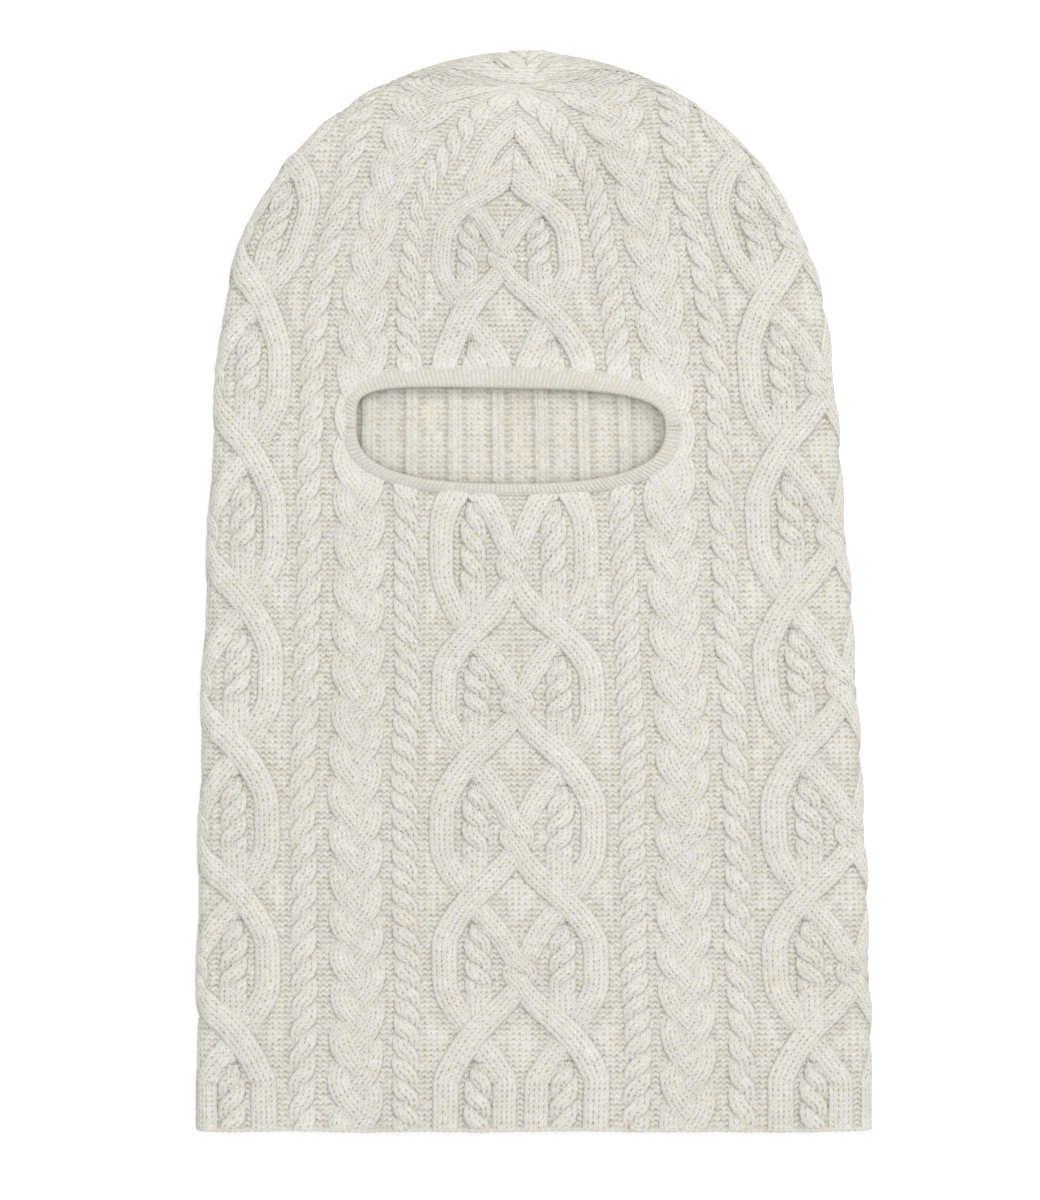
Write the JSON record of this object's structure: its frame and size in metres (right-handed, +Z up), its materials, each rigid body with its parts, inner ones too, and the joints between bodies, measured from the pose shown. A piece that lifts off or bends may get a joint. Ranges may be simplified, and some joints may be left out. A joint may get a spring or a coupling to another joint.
{
  "type": "balaclava",
  "caption": "Knitted cable-pattern balaclava laid flat: closed round crown, wide oval eye opening with ribbed band, straight bound-off neck edge.",
  "frame": {"origin": "on the surface that the hood lies on, under the middle of its box", "axes": "+X to the right as seen from above, +Y from the neck edge to the crown, +Z up, out of the face"},
  "size_m": [0.2548, 0.403, 0.0162],
  "materials": {
    "cable_knit": "cream wool in cable knit, matt and slightly heathered",
    "rib_trim": "cream wool in fine one-by-one rib",
    "linking_yarn": "cream wool chain stitches",
    "label_tape": "white woven satin tape, blank",
    "label_thread": "cream sewing thread"
  },
  "bodies": {
    "root": {"front_panel": "cable_knit", "back_panel": "cable_knit", "eye_band": "rib_trim", "eye_band_join": "linking_yarn", "eye_band_linking": "linking_yarn", "front_crown_seam": "linking_yarn", "back_crown_seam": "linking_yarn", "left_crown_seam": "linking_yarn", "right_crown_seam": "linking_yarn", "crown_closure": "linking_yarn", "hem_edge": "rib_trim", "care_label": "label_tape", "care_label_stitches": "label_thread"}
  },
  "joints": []
}
